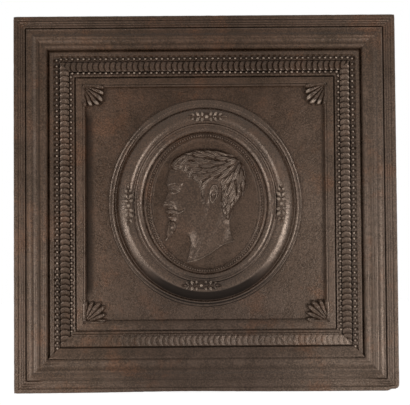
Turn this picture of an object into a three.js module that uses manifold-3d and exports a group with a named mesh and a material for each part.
// Ornamental cast-iron fireback, built up from castings on one back plate.
//
// The plate stands upright on its lower edge. X runs across it, Z runs up, and
// its ornamented face looks along -Y. The origin is on the floor, below the
// middle of the plate's width and of the whole casting's depth.
//
// Heights called "rise" are measured forward from the back of the plate, and
// insets are measured inward from the plate's outer edge.

import * as THREE from 'three';
import { mergeVertices } from 'three/addons/utils/BufferGeometryUtils.js';
import Module from 'manifold-3d';

const wasm = await Module();
wasm.setup();

// ---------------------------------------------------------------------------
// Driving dimensions, in millimetres
// ---------------------------------------------------------------------------

const WIDTH = 600;
const HEIGHT = 590;
const DEPTH = 30; // back of the plate to the crest of the outer rail
const PLATE = 10; // thickness of the back plate, which is also the panel's rise
const GAP = 0.3; // clearance between two castings
const SEAT = PLATE + GAP; // rise of the underside of what lies on the plate

const RAIL_INNER = 53.4; // inset of the outer rail's inner wall
const BAND_OUTER = 55.2; // insets of the enriched band's two walls
const BAND_INNER = 95.6;
const SLIP_OUTER = 97.1; // insets of the plain slip's two walls
const SLIP_INNER = 112.8;

const TORUS_MIDDLE = 34.3; // inset of the outer rail's broad torus
const LEAF_MIDDLE = 80.2; // inset of the row of leaves
const SLIP_MIDDLE = 103; // inset of the slip's pegs
const LEAF_PITCH = 8.85; // one leaf and one pearl of the enriched band

const OVAL_SIDE = 152.5; // half width of the oval moulding
const OVAL_TOP = 163; // half height of the oval moulding
const MEDAL_SIDE = 97.2; // half width of the medallion let into it
const MEDAL_TOP = 110.4; // half height of the medallion
const FIELD_SIDE = 84.5; // half width of the medallion's sunk field
const FIELD_TOP = 103; // half height of the field
const FIELD_RISE = 13; // rise of the field that carries the head
const MEDAL_SEAT = 6; // rise of the sunk seat in the plate that takes the medallion

const HEAD_HEIGHT = 129; // chin to crown
const HEAD_X = 3; // middle of the head, from the plate's middle
const CHIN_Z = 250; // chin above the floor

const RIVET_RADIUS = 3;
const RIVET_HEAD = 6; // radius of the countersunk head at the back
const PEG_RADIUS = 1.8;
const PEG_FOOT = 4; // rise of the end of a peg that stands in the plate
const FIXING_SIDES = 8;

const MIDDLE_Z = HEIGHT / 2;

// ---------------------------------------------------------------------------
// Materials
// ---------------------------------------------------------------------------

const iron = (color, roughness) => new THREE.MeshStandardMaterial({ color, metalness: 0.6, roughness });

const PLATE_IRON = () => iron(0x4a3f39, 0.62);
const MOULDING_IRON = () => iron(0x51463f, 0.58);
const ORNAMENT_IRON = () => iron(0x5c4f46, 0.52);
const RIVET_IRON = () => iron(0x3d3733, 0.7);

// ---------------------------------------------------------------------------
// Solids
// ---------------------------------------------------------------------------

// A closed three.js geometry as a solid that can be joined and cut.
function solidOf(geometry) {
  const bare = geometry.clone();
  bare.deleteAttribute('normal');
  bare.deleteAttribute('uv');
  const merged = mergeVertices(bare, 1e-4);
  const vertProperties = new Float32Array(merged.attributes.position.array);
  const triVerts = new Uint32Array(merged.index.array);
  if (signedVolume(vertProperties, triVerts) < 0) {
    for (let i = 0; i < triVerts.length; i += 3) {
      [triVerts[i + 1], triVerts[i + 2]] = [triVerts[i + 2], triVerts[i + 1]];
    }
  }
  return new wasm.Manifold(new wasm.Mesh({ numProp: 3, vertProperties, triVerts }));
}

// Six times the volume that the triangles enclose, negative if they face in.
function signedVolume(points, triangles) {
  const corner = (index) => new THREE.Vector3().fromArray(points, 3 * index);
  let total = 0;
  for (let i = 0; i < triangles.length; i += 3) {
    const [a, b, c] = [0, 1, 2].map((k) => corner(triangles[i + k]));
    total += a.dot(b.cross(c));
  }
  return total;
}

// A solid back as a geometry for a mesh.
function geometryOf(solid) {
  const { vertProperties, triVerts } = solid.getMesh();
  const geometry = new THREE.BufferGeometry();
  geometry.setAttribute('position', new THREE.BufferAttribute(new Float32Array(vertProperties), 3));
  geometry.setIndex(new THREE.BufferAttribute(new Uint32Array(triVerts), 1));
  return geometry;
}

function unionOf(solids) {
  return solids.reduce((whole, solid) => whole.add(solid));
}

// Skin over a row of sections that all have the same number of points, with
// flat ends. outline is the section's shape in 2D, which divides the ends into
// triangles. A ring closes on itself and has no ends.
function loft(sections, outline, ring = false) {
  const count = sections[0].length;
  const positions = sections.flat().flatMap((point) => point.toArray());
  const index = [];
  const spans = ring ? sections.length : sections.length - 1;
  for (let i = 0; i < spans; i += 1) {
    const here = i * count;
    const next = ((i + 1) % sections.length) * count;
    for (let j = 0; j < count; j += 1) {
      const k = (j + 1) % count;
      index.push(here + j, next + j, next + k);
      index.push(here + j, next + k, here + k);
    }
  }
  if (!ring) {
    const last = (sections.length - 1) * count;
    const reversed = THREE.ShapeUtils.isClockWise(outline);
    for (const triangle of THREE.ShapeUtils.triangulateShape(outline, [])) {
      const [a, b, c] = reversed ? triangle.toReversed() : triangle;
      index.push(a, b, c);
      index.push(last + a, last + c, last + b);
    }
  }
  const geometry = new THREE.BufferGeometry();
  geometry.setAttribute('position', new THREE.Float32BufferAttribute(positions, 3));
  geometry.setIndex(index);
  return geometry;
}

// A geometry drawn in the XY plane and raised along Z, laid on the plate's
// face: its X stays across, its Y turns up, and its Z becomes the rise.
function onFace(geometry, rise = 0) {
  return geometry.rotateX(Math.PI / 2).translate(0, DEPTH / 2 - rise, 0);
}

// A pointed or round-ended bump: a low ball stretched to its three half sizes.
function bump(x, y, rise, [halfX, halfY, halfRise], turn = 0, sides = 8, rings = 5) {
  const ball = new THREE.SphereGeometry(1, sides, rings);
  ball.rotateX(Math.PI / 2);
  ball.scale(halfX, halfY, halfRise);
  ball.rotateZ(turn);
  ball.translate(x, y, rise);
  return solidOf(onFace(ball));
}

// Everything in front of a given rise, as a block to keep what is inside it.
function infrontOf(rise) {
  const block = new THREE.BoxGeometry(2 * WIDTH, 2 * HEIGHT, DEPTH);
  block.translate(0, MIDDLE_Z, rise + DEPTH / 2);
  return solidOf(onFace(block));
}

// The castings by name, each with its solid so far and its material.
const pieces = new Map();

function addPiece(name, solid, material) {
  pieces.set(name, { solid, material });
}

function cutPiece(name, cutter) {
  const piece = pieces.get(name);
  piece.solid = piece.solid.subtract(cutter);
}

// ---------------------------------------------------------------------------
// Back plate and the ways that castings are fixed to it
// ---------------------------------------------------------------------------

const slab = new THREE.BoxGeometry(WIDTH, HEIGHT, PLATE).translate(0, MIDDLE_Z, PLATE / 2);
addPiece('back_plate', solidOf(onFace(slab)), PLATE_IRON());

// A round solid about an upright axis, from an outline of radius and rise that
// starts and ends on the axis.
function turned(x, z, outline) {
  const points = outline.map(([radius, rise]) => new THREE.Vector2(radius, rise));
  const round = new THREE.LatheGeometry(points, FIXING_SIDES);
  round.rotateX(Math.PI / 2);
  round.translate(x, z, 0);
  return solidOf(onFace(round));
}

// A rivet driven from behind, its flat head sunk just below the plate's back,
// through the plate and into a blind hole in the casting that it holds.
function addRivet(name, host, x, z, tip) {
  const sunk = 0.2;
  const neck = 3.2;
  const shank = RIVET_RADIUS;
  const hole = RIVET_RADIUS + GAP;
  const mouth = RIVET_HEAD + 0.5;
  const rivet = turned(x, z, [[0, sunk], [RIVET_HEAD, sunk], [shank, neck], [shank, tip], [0, tip]]);
  const end = tip + 2 * GAP;
  const countersink = [[0, -1], [mouth, -1], [mouth, sunk]];
  const bore = turned(x, z, [...countersink, [hole, neck + GAP], [hole, end], [0, end]]);
  cutPiece('back_plate', bore);
  cutPiece(host, bore);
  addPiece(name, rivet, RIVET_IRON());
}

// A peg cast on the back of a small casting, and its hole in what it sits on.
function peg(x, z, from, to) {
  return turned(x, z, [[0, from], [PEG_RADIUS, from], [PEG_RADIUS, to], [0, to]]);
}

function cutPegHole(host, x, z, from, to) {
  const radius = PEG_RADIUS + GAP;
  cutPiece(host, turned(x, z, [[0, from - GAP], [radius, from - GAP], [radius, to], [0, to]]));
}

// ---------------------------------------------------------------------------
// The four sides of the frame
// ---------------------------------------------------------------------------

// Each side is drawn as if it were the top one, about the plate's middle, and
// turned about Y into its place. along is the plate's half size along the
// side, and reach is the distance from the middle to the outer edge there.
const SIDES = [
  { side: 'top', turn: 0, along: WIDTH / 2, reach: HEIGHT / 2, lean: -1, worn: false },
  { side: 'right', turn: Math.PI / 2, along: HEIGHT / 2, reach: WIDTH / 2, lean: -1, worn: false },
  { side: 'bottom', turn: Math.PI, along: WIDTH / 2, reach: HEIGHT / 2, lean: 1, worn: true },
  { side: 'left', turn: -Math.PI / 2, along: HEIGHT / 2, reach: WIDTH / 2, lean: 1, worn: false },
];

// A point of a side: s along it, u inset from its outer edge.
function sidePoint({ reach }, s, u, rise) {
  return new THREE.Vector3(s, DEPTH / 2 - rise, reach - u);
}

// The wedge that a side fills between its two mitres, short by the clearance.
function mitreWedge({ along, reach }) {
  const back = 0.7 * GAP;
  const depth = SLIP_INNER + 10;
  const wedge = new THREE.Shape();
  wedge.moveTo(-along + back, reach);
  wedge.lineTo(along - back, reach);
  wedge.lineTo(along - depth - back, reach - depth);
  wedge.lineTo(-along + depth + back, reach - depth);
  const block = new THREE.ExtrudeGeometry(wedge, { depth: 2 * DEPTH, bevelEnabled: false });
  return solidOf(onFace(block, -DEPTH / 2));
}

// Turn a side's solid into its place on the plate.
function placeSide(solid, { turn }) {
  const degrees = THREE.MathUtils.radToDeg(turn);
  return solid.rotate([0, degrees, 0]).translate([0, 0, MIDDLE_Z]);
}

// A plain moulding along a side, from an outline of inset and rise.
function moulding(side, outline) {
  const ends = [-side.along, side.along];
  const sections = ends.map((s) => outline.map((p) => sidePoint(side, s, p.x, p.y)));
  return solidOf(loft(sections, outline));
}

// The outer rail's outline: an outer fillet, two small beads, a deep groove, a
// cove, the broad torus that stands highest, a second cove and an inner bead.
// Years of fire have worn the lower rail's groove and beads nearly away.
function railOutline(worn) {
  const fillet = 22;
  const low = worn ? 21.6 : 20.6;
  const groove = worn ? 21.2 : 16.5;
  const cove = worn ? 25 : 21.5;
  const torus = DEPTH + (DEPTH - 27);
  const line = new THREE.Path();
  line.moveTo(0, SEAT);
  line.lineTo(0, fillet - 1);
  line.lineTo(1, fillet);
  line.lineTo(7.4, fillet);
  line.lineTo(8.2, low);
  line.quadraticCurveTo(9.8, 2 * fillet - low + 1, 11.4, low);
  line.quadraticCurveTo(13.1, 2 * fillet - low + 1, 14.8, low);
  line.lineTo(16.2, fillet + 0.4);
  line.lineTo(18.2, fillet + 0.2);
  line.lineTo(19.1, groove);
  line.lineTo(20.1, groove);
  line.lineTo(21.2, worn ? 22.8 : 24.8);
  line.lineTo(23.4, worn ? 24 : 25);
  line.quadraticCurveTo(26.8, cove, 30, 27);
  line.quadraticCurveTo(34.3, torus, 38.6, 27);
  line.quadraticCurveTo(42, cove, 45, 25.5);
  line.quadraticCurveTo(48, worn ? 26.5 : 29, 51, 25);
  line.lineTo(52.2, worn ? 21 : 19);
  line.lineTo(RAIL_INNER, SEAT);
  return withoutRepeats(line.getPoints(4));
}

// The plain slip between the enriched band and the panel.
function slipOutline(worn) {
  const face = worn ? 16.4 : 17.2;
  const arris = worn ? 16.8 : 18.4;
  const line = new THREE.Path();
  line.moveTo(SLIP_OUTER, SEAT);
  line.lineTo(SLIP_OUTER, face - 1.2);
  line.lineTo(98.3, face);
  line.lineTo(107, face + 0.2);
  line.lineTo(108, face - 0.5);
  line.quadraticCurveTo(109.8, 2 * arris - face, 111.6, face - 0.2);
  line.lineTo(SLIP_INNER, SEAT);
  return withoutRepeats(line.getPoints(4));
}

function withoutRepeats(points) {
  return points.filter((point, i) => i === 0 || point.distanceTo(points[i - 1]) > 1e-6);
}

// The enriched band: a flat fillet, a row of pearls, a row of overlapping
// leaves with one leaf to each pearl, a second row of pearls and a last wall.
const BAND_FLOOR = 13.4; // rise of the creases between the rows
const PEARL_FOOT = 15.2; // rise between two pearls of a row
const PEARL_CREST = 19.6;
const LEAF_LOW = 17.4; // rise where one leaf comes from under the next
const LEAF_CREST = 21.6;

function bandOutline(worn) {
  const fillet = 16.2;
  const line = [[BAND_OUTER, SEAT], [BAND_OUTER, fillet - 0.8], [56, fillet]];
  if (worn) {
    line.push([66.5, fillet - 0.4], [69, BAND_FLOOR], [72, 15.4], [LEAF_MIDDLE, 17.2]);
    line.push([88.4, 15.4], [91, BAND_FLOOR], [93.6, fillet - 0.4]);
  } else {
    line.push([61.8, fillet], [63.8, BAND_FLOOR], [93.4, BAND_FLOOR], [94.4, fillet]);
  }
  line.push([BAND_INNER - 0.4, fillet - 1], [BAND_INNER, SEAT]);
  return line.map(([u, rise]) => new THREE.Vector2(u, rise));
}

// One crossing of the band at each pearl and one between each two. A column
// holds its inset, its two rises, and how far each of the two crossings is
// moved along, as a part of the pitch, which bends the leaves into crescents.
function bandColumns() {
  const pearl = (u) => ({ u, rises: [PEARL_CREST, PEARL_FOOT], shifts: [0, 0.5] });
  const crease = (u) => ({ u, rises: [BAND_FLOOR, BAND_FLOOR], shifts: [0, 0.5] });
  const leaf = { u: LEAF_MIDDLE, rises: [LEAF_LOW, LEAF_CREST], shifts: [0.42, 0.6] };
  return [crease(64.6), pearl(67.5), crease(71.6), leaf, crease(87.2), pearl(89.7), crease(92.4)];
}

function bandOrnament(side) {
  const columns = bandColumns();
  const pitches = Math.floor((2 * (side.along - columns[0].u)) / LEAF_PITCH) + 1;
  const start = (-side.lean * pitches * LEAF_PITCH) / 2;
  const [outer, inner] = [columns[0].u, columns[columns.length - 1].u];
  const sections = [];
  for (let i = 0; i <= 2 * pitches; i += 1) {
    const place = Math.floor(i / 2);
    const half = i % 2;
    const flat = start + side.lean * (place + half / 2) * LEAF_PITCH;
    const top = columns.map(({ u, rises, shifts }) => {
      const s = start + side.lean * (place + shifts[half]) * LEAF_PITCH;
      return sidePoint(side, s, u, rises[half]);
    });
    const under = [inner, outer].map((u) => sidePoint(side, flat, u, BAND_FLOOR - 1.5));
    sections.push([...top, ...under]);
  }
  const outline = [
    ...columns.map(({ u, rises }) => new THREE.Vector2(u, rises[0])),
    new THREE.Vector2(inner, BAND_FLOOR - 1.5),
    new THREE.Vector2(outer, BAND_FLOOR - 1.5),
  ];
  return solidOf(loft(sections, outline));
}

// Where a fixing at s along a side and inset u lies on the plate.
function fixingPlace({ turn, reach }, s, u) {
  const x = s * Math.cos(turn) + (reach - u) * Math.sin(turn);
  const z = -s * Math.sin(turn) + (reach - u) * Math.cos(turn);
  return { x, z: MIDDLE_Z + z };
}

for (const side of SIDES) {
  const wedge = mitreWedge(side);
  const { side: word, along, worn } = side;
  const rail = moulding(side, railOutline(worn)).intersect(wedge);
  addPiece(`outer_rail_${word}`, placeSide(rail, side), MOULDING_IRON());
  const plain = moulding(side, bandOutline(worn));
  const band = (worn ? plain : plain.add(bandOrnament(side))).intersect(wedge);
  addPiece(`leaf_band_${word}`, placeSide(band, side), ORNAMENT_IRON());
  const slip = moulding(side, slipOutline(worn)).intersect(wedge);
  const slipFeet = [-0.3, 0.3].map((part) => fixingPlace(side, part * along, SLIP_MIDDLE));
  const slipPegs = slipFeet.map(({ x, z }) => peg(x, z, PEG_FOOT, SEAT + 1));
  addPiece(`slip_${word}`, unionOf([placeSide(slip, side), ...slipPegs]), MOULDING_IRON());
  for (const { x, z } of slipFeet) {
    cutPegHole('back_plate', x, z, PEG_FOOT, SEAT);
  }
  const bandFixing = fixingPlace(side, 0, LEAF_MIDDLE);
  addRivet(`band_rivet_${word}`, `leaf_band_${word}`, bandFixing.x, bandFixing.z, BAND_FLOOR);
  for (const [end, sign] of [['first', -1], ['second', 1]]) {
    const { x, z } = fixingPlace(side, 0.55 * sign * along, TORUS_MIDDLE);
    addRivet(`rail_rivet_${word}_${end}`, `outer_rail_${word}`, x, z, 22);
  }
}

// ---------------------------------------------------------------------------
// The oval moulding and its medallion
// ---------------------------------------------------------------------------

// One contour of the oval: half width, half height and rise. The contours are
// nearly round outside and narrower inside, as the moulding swells at its sides.
const OVAL = [
  { side: 97.8, top: 111, rise: SEAT },
  { side: 98.1, top: 111.2, rise: 11.6 },
  { side: 100.4, top: 113.4, rise: 15.4 },
  { side: 103.9, top: 116.6, rise: 16.8 },
  { side: 106.6, top: 119.4, rise: 16.2 },
  { side: 108.6, top: 121.6, rise: 17.2 },
  { side: 110.8, top: 124, rise: 18.2 },
  { side: 112.6, top: 126, rise: 17.4 },
  { side: 116, top: 130, rise: 19.8 },
  { side: 121, top: 134.6, rise: 21.6 },
  { side: 126, top: 139, rise: 22.3 },
  { side: 131, top: 143.4, rise: 21.5 },
  { side: 135.6, top: 147.4, rise: 19.2 },
  { side: 139.4, top: 150.8, rise: 14.8 },
  { side: 140.6, top: 152, rise: 11.4 },
  { side: 142.2, top: 153.2, rise: 11.6 },
  { side: 143.8, top: 154.6, rise: 13.8 },
  { side: 146.4, top: 156.8, rise: 15 },
  { side: 148.6, top: 158.8, rise: 13.4 },
  { side: 150.4, top: 160.8, rise: 14.2 },
  { side: 152, top: 162.6, rise: 12.8 },
  { side: OVAL_SIDE, top: OVAL_TOP, rise: SEAT },
];

const QUADRANT_STEPS = 12;

// The point of an ellipse at an angle, standing upright on the plate's face.
function ovalPoint({ side, top, rise }, angle) {
  return new THREE.Vector3(side * Math.cos(angle), DEPTH / 2 - rise, MIDDLE_Z + top * Math.sin(angle));
}

// A quarter of the moulding, between two of its four joints.
function quadrant(first, contours) {
  const trim = GAP / (2 * MEDAL_SIDE);
  const from = first + trim;
  const sweep = Math.PI / 2 - 2 * trim;
  const sections = [];
  for (let i = 0; i <= QUADRANT_STEPS; i += 1) {
    const angle = from + (sweep * i) / QUADRANT_STEPS;
    sections.push(contours.map((contour) => ovalPoint(contour, angle)));
  }
  return solidOf(loft(sections, contours.map(({ side, rise }) => new THREE.Vector2(side, rise))));
}

const QUADRANTS = [
  { name: 'oval_moulding_upper_right', first: 0 },
  { name: 'oval_moulding_upper_left', first: Math.PI / 2 },
  { name: 'oval_moulding_lower_left', first: Math.PI },
  { name: 'oval_moulding_lower_right', first: (3 * Math.PI) / 2 },
];

for (const { name, first } of QUADRANTS) {
  addPiece(name, quadrant(first, OVAL), MOULDING_IRON());
  const place = ovalPoint({ side: 126, top: 139, rise: 0 }, first + Math.PI / 4);
  addRivet(name.replace('moulding', 'rivet'), name, place.x, place.z, 18);
}

// The medallion is a thick oval disc let into the moulding. Its raised rim has
// an outer step, a channel for the beaded ring and an inner lip, and its field
// is sunk.
const CHANNEL = { inner: 88, outer: 93.2, innerTop: 105.4, outerTop: 108, rise: 14 };
const RIM_RISE = 15.8;
const MEDAL_STEPS = 48;

const MEDAL = [
  { side: MEDAL_SIDE, top: MEDAL_TOP, rise: MEDAL_SEAT + GAP },
  { side: MEDAL_SIDE, top: MEDAL_TOP, rise: RIM_RISE - 0.8 },
  { side: 96, top: 109.8, rise: RIM_RISE },
  { side: CHANNEL.outer, top: CHANNEL.outerTop, rise: RIM_RISE },
  { side: CHANNEL.outer, top: CHANNEL.outerTop, rise: CHANNEL.rise },
  { side: CHANNEL.inner, top: CHANNEL.innerTop, rise: CHANNEL.rise },
  { side: CHANNEL.inner, top: CHANNEL.innerTop, rise: RIM_RISE - 0.4 },
  { side: 86, top: 104.2, rise: RIM_RISE - 0.6 },
  { side: FIELD_SIDE, top: FIELD_TOP, rise: FIELD_RISE },
];

function ovalLoop(contour) {
  const loop = [];
  for (let i = 0; i < MEDAL_STEPS; i += 1) {
    loop.push(ovalPoint(contour, (2 * Math.PI * i) / MEDAL_STEPS));
  }
  return loop;
}

function loopOutline({ side, top }) {
  return ovalLoop({ side, top, rise: 0 }).map((point) => new THREE.Vector2(point.x, point.z));
}

addPiece('medallion', solidOf(loft(MEDAL.map(ovalLoop), loopOutline(MEDAL[0]))), PLATE_IRON());

const seatWall = { side: MEDAL_SIDE + GAP, top: MEDAL_TOP + GAP };
const seatLoops = [MEDAL_SEAT, PLATE + 1].map((rise) => ovalLoop({ ...seatWall, rise }));
cutPiece('back_plate', solidOf(loft(seatLoops, loopOutline(seatWall))));

for (const [word, sign] of [['left', -1], ['right', 1]]) {
  addRivet(`medallion_rivet_${word}`, 'medallion', sign * 0.8 * FIELD_SIDE, MIDDLE_Z, 11);
}

// The beaded ring lies in the channel. Its beads are too fine for this solid,
// which has their height and the threads on both sides of them.
const BEADED = [
  { side: CHANNEL.inner + GAP, top: CHANNEL.innerTop + GAP, rise: CHANNEL.rise + GAP },
  { side: CHANNEL.inner + GAP, top: CHANNEL.innerTop + GAP, rise: 15.6 },
  { side: 90.6, top: 106.7, rise: 17.2 },
  { side: CHANNEL.outer - GAP, top: CHANNEL.outerTop - GAP, rise: 15.8 },
  { side: CHANNEL.outer - GAP, top: CHANNEL.outerTop - GAP, rise: CHANNEL.rise + GAP },
];

addPiece('beaded_ring', solidOf(loft(BEADED.map(ovalLoop), [], true)), ORNAMENT_IRON());

// ---------------------------------------------------------------------------
// The head in relief
// ---------------------------------------------------------------------------

// The head faces left. It is drawn on a grid whose unit is the height from
// chin to crown: across from the middle of the head, and up from the chin.
// Hairline to brow, brow to nose and nose to chin are three equal steps, and
// the eye is halfway up.
const headX = (across) => HEAD_X + HEAD_HEIGHT * across;
const headZ = (up) => CHIN_Z + HEAD_HEIGHT * up;

function curveThrough(points, divisions) {
  const knots = points.map(([across, up]) => new THREE.Vector2(headX(across), headZ(up)));
  return new THREE.SplineCurve(knots).getPoints(divisions);
}

// A rounded slab of relief inside an outline, rising to a given height.
function reliefSlab(outline, rise, round, segments) {
  const options = { bevelEnabled: true, bevelSize: round, bevelOffset: -round };
  options.bevelThickness = rise - FIELD_RISE;
  options.bevelSegments = segments;
  options.depth = 1;
  const slab = new THREE.ExtrudeGeometry(new THREE.Shape(outline), options);
  return solidOf(onFace(slab, FIELD_RISE - 1));
}

// Brow, nose, lips and chin, down to the throat.
const FACE_LINE = [
  [-0.4, 0.79], [-0.445, 0.68], [-0.45, 0.58], [-0.425, 0.51], [-0.47, 0.41], [-0.51, 0.335],
  [-0.445, 0.3], [-0.45, 0.25], [-0.42, 0.212], [-0.44, 0.18], [-0.41, 0.14], [-0.425, 0.07], [-0.36, 0.01],
];
// Under the jaw and down the front of the neck.
const THROAT_LINE = [[-0.36, 0.01], [-0.24, 0], [-0.17, -0.06], [-0.19, -0.22], [-0.22, -0.36]];
// The curved cut across the bottom of the neck.
const NECK_CUT = [[-0.22, -0.36], [0.02, -0.28], [0.2, -0.16], [0.34, -0.11]];
// Nape, back of the head and crown, forward to the hairline.
const BACK_LINE = [
  [0.34, -0.11], [0.3, 0.08], [0.34, 0.3], [0.46, 0.48], [0.49, 0.66], [0.4, 0.86],
  [0.2, 0.97], [0, 1], [-0.22, 0.95], [-0.36, 0.86], [-0.4, 0.79],
];

function headSolid() {
  const outline = [
    ...curveThrough(FACE_LINE, 24).slice(0, -1),
    ...curveThrough(THROAT_LINE, 6).slice(0, -1),
    ...curveThrough(NECK_CUT, 5).slice(0, -1),
    ...curveThrough(BACK_LINE, 18).slice(0, -1),
  ];
  return reliefSlab(outline, 19.4, 1.6, 3);
}

// Short hair brushed forward: a cap over the crown, round the ear and down to
// the nape, with a side whisker in front of the ear.
function hairSolid() {
  const edge = [
    [-0.4, 0.84], [-0.3, 0.74], [-0.2, 0.76], [-0.1, 0.66], [-0.04, 0.56], [-0.02, 0.44],
    [0.05, 0.42], [0.08, 0.56], [0.18, 0.56], [0.22, 0.4], [0.26, 0.24], [0.33, 0.24],
  ];
  const crown = [
    [0.33, 0.24], [0.46, 0.46], [0.505, 0.66], [0.42, 0.87], [0.2, 0.99], [0, 1.02],
    [-0.22, 0.97], [-0.36, 0.9], [-0.4, 0.84],
  ];
  const outline = [...curveThrough(edge, 16).slice(0, -1), ...curveThrough(crown, 14).slice(0, -1)];
  return reliefSlab(outline, 22, 2.6, 3);
}

function faceDetails() {
  const at = (across, up, rise, half, turn, sides, rings) => {
    return bump(headX(across), headZ(up), rise, half, turn, sides, rings);
  };
  return [
    at(0.12, 0.45, 19.6, [8, 14, 3.2], -0.2, 10, 6), // ear
    at(-0.36, 0.5, 19, [5.5, 3, 2.2], 0, 8, 5), // eye
    at(-0.37, 0.57, 18.6, [9, 3, 3], -0.15, 8, 5), // brow
    at(-0.42, 0.33, 18, [5, 3.6, 2.8], 0.4, 8, 5), // wing of the nose
    at(-0.24, 0.36, 17.6, [17, 15, 3.6], 0.3, 10, 6), // cheek
    at(-0.16, 0.14, 17.6, [22, 14, 3.4], -0.5, 10, 6), // jaw
    at(-0.4, 0.255, 18.4, [11, 2.8, 3], 0.25, 8, 5), // moustache
    at(-0.41, 0.04, 17.6, [5.5, 12, 3.6], -0.35, 8, 5), // chin beard
    at(-0.06, -0.12, 17.2, [6, 26, 3.8], 0.12, 8, 6), // muscle of the neck
  ];
}

const HEAD_PEG_FOOT = FIELD_RISE - 4;
const headFeet = [[-0.1, 0.3], [0.2, 0.7]].map(([across, up]) => ({ x: headX(across), z: headZ(up) }));
const headPegs = headFeet.map(({ x, z }) => peg(x, z, HEAD_PEG_FOOT, FIELD_RISE + 2));
const headShape = unionOf([headSolid(), hairSolid(), ...faceDetails()]);
const relief = headShape.intersect(infrontOf(FIELD_RISE + GAP));
addPiece('portrait_head', unionOf([relief, ...headPegs]), ORNAMENT_IRON());
for (const { x, z } of headFeet) {
  cutPegHole('medallion', x, z, HEAD_PEG_FOOT, FIELD_RISE + 1);
}

// ---------------------------------------------------------------------------
// Sprays of leaves over the four joints of the oval moulding
// ---------------------------------------------------------------------------

// A spray is drawn about its own middle with its length across, then turned to
// follow the moulding. Two rows of leaves open from a stem with a bud between.
const SPRAY_HALF = 27;
const SPRAY_LEAVES = 2; // in each of the four rows that run out from the bud

function sprayBumps(crest) {
  const bud = { x: 0, y: 0, rise: crest, half: [5, 4.6, 3.4], turn: 0 };
  const stem = { x: 0, y: 0, rise: crest, half: [SPRAY_HALF, 2.6, 2.8], turn: 0 };
  const leaves = [];
  for (const end of [-1, 1]) {
    for (const row of [-1, 1]) {
      for (let i = 0; i < SPRAY_LEAVES; i += 1) {
        const x = end * (8 + 9 * i);
        const half = [6 - 0.8 * i, 3.2 - 0.4 * i, 3.2 - 0.3 * i];
        leaves.push({ x, y: row * (3.6 - 0.6 * i), rise: crest - 0.2, half, turn: end * row * 0.9 });
      }
    }
  }
  return [bud, stem, ...leaves];
}

const SPRAYS = [
  { name: 'spray_top', x: 5, z: MIDDLE_Z + 137, turn: 0 },
  { name: 'spray_bottom', x: -3, z: MIDDLE_Z - 132, turn: 0 },
  { name: 'spray_left', x: -120, z: MIDDLE_Z - 2, turn: Math.PI / 2 },
  { name: 'spray_right', x: 120, z: MIDDLE_Z + 1, turn: Math.PI / 2 },
];
const SPRAY_RISE = 22.4;
const SPRAY_PEG = 14; // from the spray's middle to each of its two pegs
const SPRAY_PEG_FOOT = 15.5;

// The moulding's highest contours, raised by the clearance, cut the underside
// of each spray to the curve that it lies on.
const highest = OVAL.filter(({ rise }) => rise > 19);
const crown = highest.map((contour) => ({ ...contour, rise: contour.rise + GAP }));
const crownWalls = [crown[0], crown[crown.length - 1]].map((contour) => ({ ...contour, rise: SEAT }));
const underSpray = [crownWalls[0], ...crown, crownWalls[1]];
const sprayCutter = unionOf(QUADRANTS.map(({ first }) => quadrant(first, underSpray)));
const SPRAY_EDGE = 20 + GAP; // rise of the lowest edge of a spray

for (const spray of SPRAYS) {
  const { name, x: middleX, z: middleZ, turn: along } = spray;
  const leaves = sprayBumps(SPRAY_RISE).map(({ x, y, rise, half, turn }) => {
    const across = middleX + x * Math.cos(along) - y * Math.sin(along);
    const up = middleZ + x * Math.sin(along) + y * Math.cos(along);
    return bump(across, up, rise, half, turn + along, 5, 4);
  });
  const seated = unionOf(leaves).subtract(sprayCutter).intersect(infrontOf(SPRAY_EDGE));
  const feet = [-SPRAY_PEG, SPRAY_PEG].map((s) => {
    return { x: middleX + s * Math.cos(along), z: middleZ + s * Math.sin(along) };
  });
  const sprayPegs = feet.map(({ x, z }) => peg(x, z, SPRAY_PEG_FOOT, SPRAY_RISE));
  addPiece(name, unionOf([seated, ...sprayPegs]), ORNAMENT_IRON());
  for (const { x, z } of feet) {
    for (const quarter of QUADRANTS) {
      cutPegHole(quarter.name, x, z, SPRAY_PEG_FOOT, SPRAY_RISE + 2);
    }
  }
}

// ---------------------------------------------------------------------------
// Leaves in the four corners of the panel
// ---------------------------------------------------------------------------

const CORNER_LOBES = 7;
const CORNER_REACH = 33; // root to the tip of the middle lobe
const CORNER_ROOT = SLIP_INNER + 0.6; // inset of the panel's corner

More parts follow.
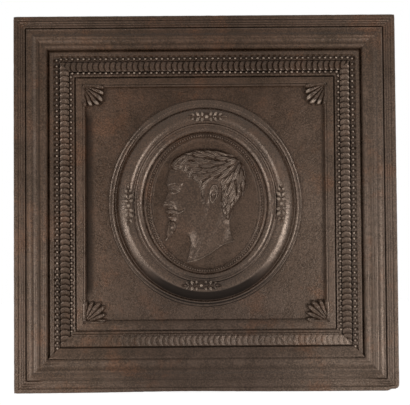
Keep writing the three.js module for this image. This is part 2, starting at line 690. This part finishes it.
function cornerLeaf(signX, signZ) {
  const rootX = signX * (WIDTH / 2 - CORNER_ROOT);
  const rootZ = MIDDLE_Z + signZ * (HEIGHT / 2 - CORNER_ROOT);
  const lobes = [];
  for (let i = 0; i < CORNER_LOBES; i += 1) {
    const part = i / (CORNER_LOBES - 1);
    const angle = (0.1 + 0.8 * part) * (Math.PI / 2);
    const length = CORNER_REACH * (0.94 + 0.12 * Math.cos(4 * angle));
    const middle = 0.56 * length;
    const x = rootX - signX * middle * Math.cos(angle);
    const z = rootZ - signZ * middle * Math.sin(angle);
    const half = [0.46 * length, 3.4, 5.2];
    const turn = Math.atan2(signZ * Math.sin(angle), signX * Math.cos(angle));
    lobes.push(bump(x, z, SEAT + 0.6, half, turn, 6, 3));
  }
  const boss = bump(rootX - signX * 7, rootZ - signZ * 7, SEAT + 1, [6.5, 6.5, 7], 0, 8, 6);
  const half = 30;
  const room = new THREE.BoxGeometry(2 * half, 2 * half, DEPTH);
  room.translate(rootX - signX * half, rootZ - signZ * half, SEAT + DEPTH / 2);
  const shape = unionOf([...lobes, boss]).intersect(solidOf(onFace(room)));
  const foot = { x: rootX - signX * 14, z: rootZ - signZ * 14 };
  return { foot, solid: shape.add(peg(foot.x, foot.z, PEG_FOOT, SEAT + 2)) };
}

const CORNERS = [
  { name: 'corner_leaf_upper_left', signX: -1, signZ: 1 },
  { name: 'corner_leaf_upper_right', signX: 1, signZ: 1 },
  { name: 'corner_leaf_lower_left', signX: -1, signZ: -1 },
  { name: 'corner_leaf_lower_right', signX: 1, signZ: -1 },
];

for (const { name, signX, signZ } of CORNERS) {
  const { foot, solid } = cornerLeaf(signX, signZ);
  addPiece(name, solid, ORNAMENT_IRON());
  cutPegHole('back_plate', foot.x, foot.z, PEG_FOOT, SEAT);
}

// ---------------------------------------------------------------------------
// The whole fireback
// ---------------------------------------------------------------------------

const fireback = new THREE.Group();
for (const [name, { solid, material }] of pieces) {
  const mesh = new THREE.Mesh(geometryOf(solid), material);
  mesh.name = name;
  fireback.add(mesh);
}

export default fireback;
